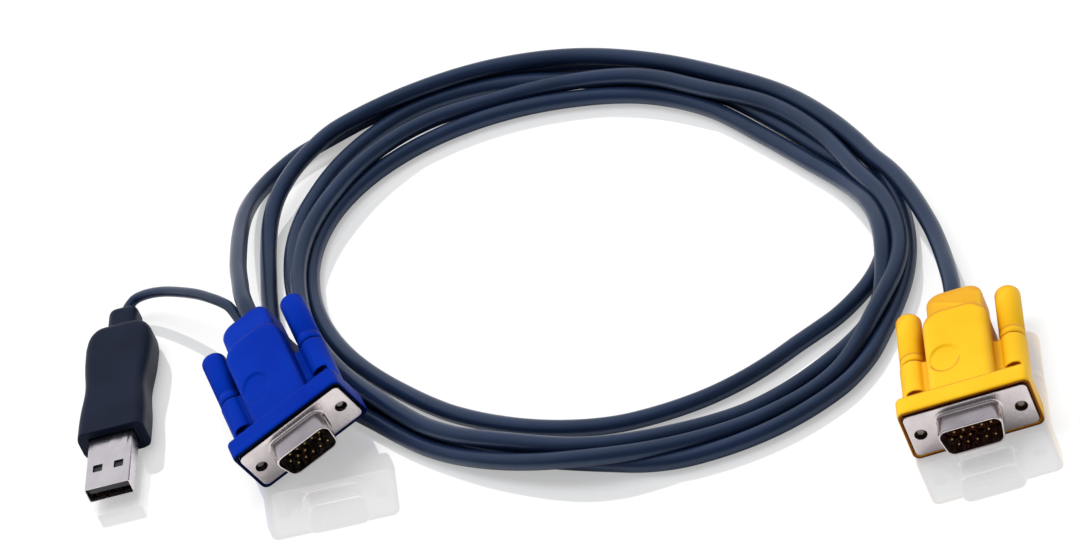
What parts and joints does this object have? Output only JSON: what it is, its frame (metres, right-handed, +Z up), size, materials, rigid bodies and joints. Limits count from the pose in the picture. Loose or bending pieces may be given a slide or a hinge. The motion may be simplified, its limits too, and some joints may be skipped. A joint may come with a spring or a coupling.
{
  "type": "kvm cable",
  "caption": "Coiled dark blue KVM cable with a yellow 15-pin video plug at one end, a blue 15-pin video plug and a USB plug at the other.",
  "frame": {"origin": "on the floor under the middle of the yellow plug's lip, 3 mm behind its flange's front face", "axes": "+Z up from the floor; the yellow plug mates along -Y; +X to its right seen from above with the plug pointing at the viewer"},
  "size_m": [0.2448, 0.2019, 0.0237],
  "materials": {
    "yellow_plastic": "satin moulded",
    "blue_plastic": "satin moulded",
    "nickel": "bright nickel plate",
    "gold": "gold plate",
    "steel": "zinc plate",
    "black_insulator": "moulded",
    "brown_insulator": "moulded",
    "white_core": "moulded",
    "navy_jacket": "smooth flexible vinyl",
    "slate_grip": "moulded flexible vinyl"
  },
  "bodies": {
    "cable_set": {"yellow_hood": "yellow_plastic", "yellow_front_shell": "nickel", "yellow_rear_shell": "nickel", "yellow_insulator": "brown_insulator", "yellow_core": "white_core", "yellow_pin_01": "gold", "yellow_pin_02": "gold", "yellow_pin_03": "gold", "yellow_pin_04": "gold", "yellow_pin_05": "gold", "yellow_pin_06": "gold", "yellow_pin_07": "gold", "yellow_pin_08": "gold", "yellow_pin_10": "gold", "yellow_pin_11": "gold", "yellow_pin_12": "gold", "yellow_pin_13": "gold", "yellow_pin_14": "gold", "yellow_pin_15": "gold", "blue_hood": "blue_plastic", "blue_front_shell": "nickel", "blue_rear_shell": "nickel", "blue_insulator": "black_insulator", "blue_core": "white_core", "blue_pin_01": "gold", "blue_pin_02": "gold", "blue_pin_03": "gold", "blue_pin_04": "gold", "blue_pin_05": "gold", "blue_pin_06": "gold", "blue_pin_07": "gold", "blue_pin_08": "gold", "blue_pin_10": "gold", "blue_pin_11": "gold", "blue_pin_12": "gold", "blue_pin_13": "gold", "blue_pin_14": "gold", "blue_pin_15": "gold", "usb_grip": "slate_grip", "usb_shell": "nickel", "usb_tongue": "black_insulator", "usb_core": "white_core", "usb_contact_1": "gold", "usb_contact_2": "gold", "usb_contact_3": "gold", "usb_contact_4": "gold", "cable_coil": "navy_jacket", "blue_lead": "navy_jacket", "loop_under_blue": "navy_jacket", "yellow_lead": "navy_jacket", "usb_cable": "navy_jacket"},
    "yellow_thumbscrew_left": {"yellow_knob_left": "yellow_plastic", "yellow_screw_left": "steel"},
    "yellow_thumbscrew_right": {"yellow_knob_right": "yellow_plastic", "yellow_screw_right": "steel"},
    "blue_thumbscrew_left": {"blue_knob_left": "blue_plastic", "blue_screw_left": "steel"},
    "blue_thumbscrew_right": {"blue_knob_right": "blue_plastic", "blue_screw_right": "steel"}
  },
  "joints": [
    {"name": "yellow_left_turn", "type": "hinge", "parent": "cable_set", "child": "yellow_thumbscrew_left", "pos_m": [-0.01249, 0.021, 0.00775], "axis": [0, -1, 0], "continuous": true},
    {"name": "yellow_right_turn", "type": "hinge", "parent": "cable_set", "child": "yellow_thumbscrew_right", "pos_m": [0.01249, 0.021, 0.00775], "axis": [0, -1, 0], "continuous": true},
    {"name": "blue_left_turn", "type": "hinge", "parent": "cable_set", "child": "blue_thumbscrew_left", "pos_m": [-0.18496, 0.07739, 0.01081], "axis": [0.2607, -0.9594, -0.108], "continuous": true},
    {"name": "blue_right_turn", "type": "hinge", "parent": "cable_set", "child": "blue_thumbscrew_right", "pos_m": [-0.16157, 0.08298, 0.01757], "axis": [0.2607, -0.9594, -0.108], "continuous": true}
  ]
}
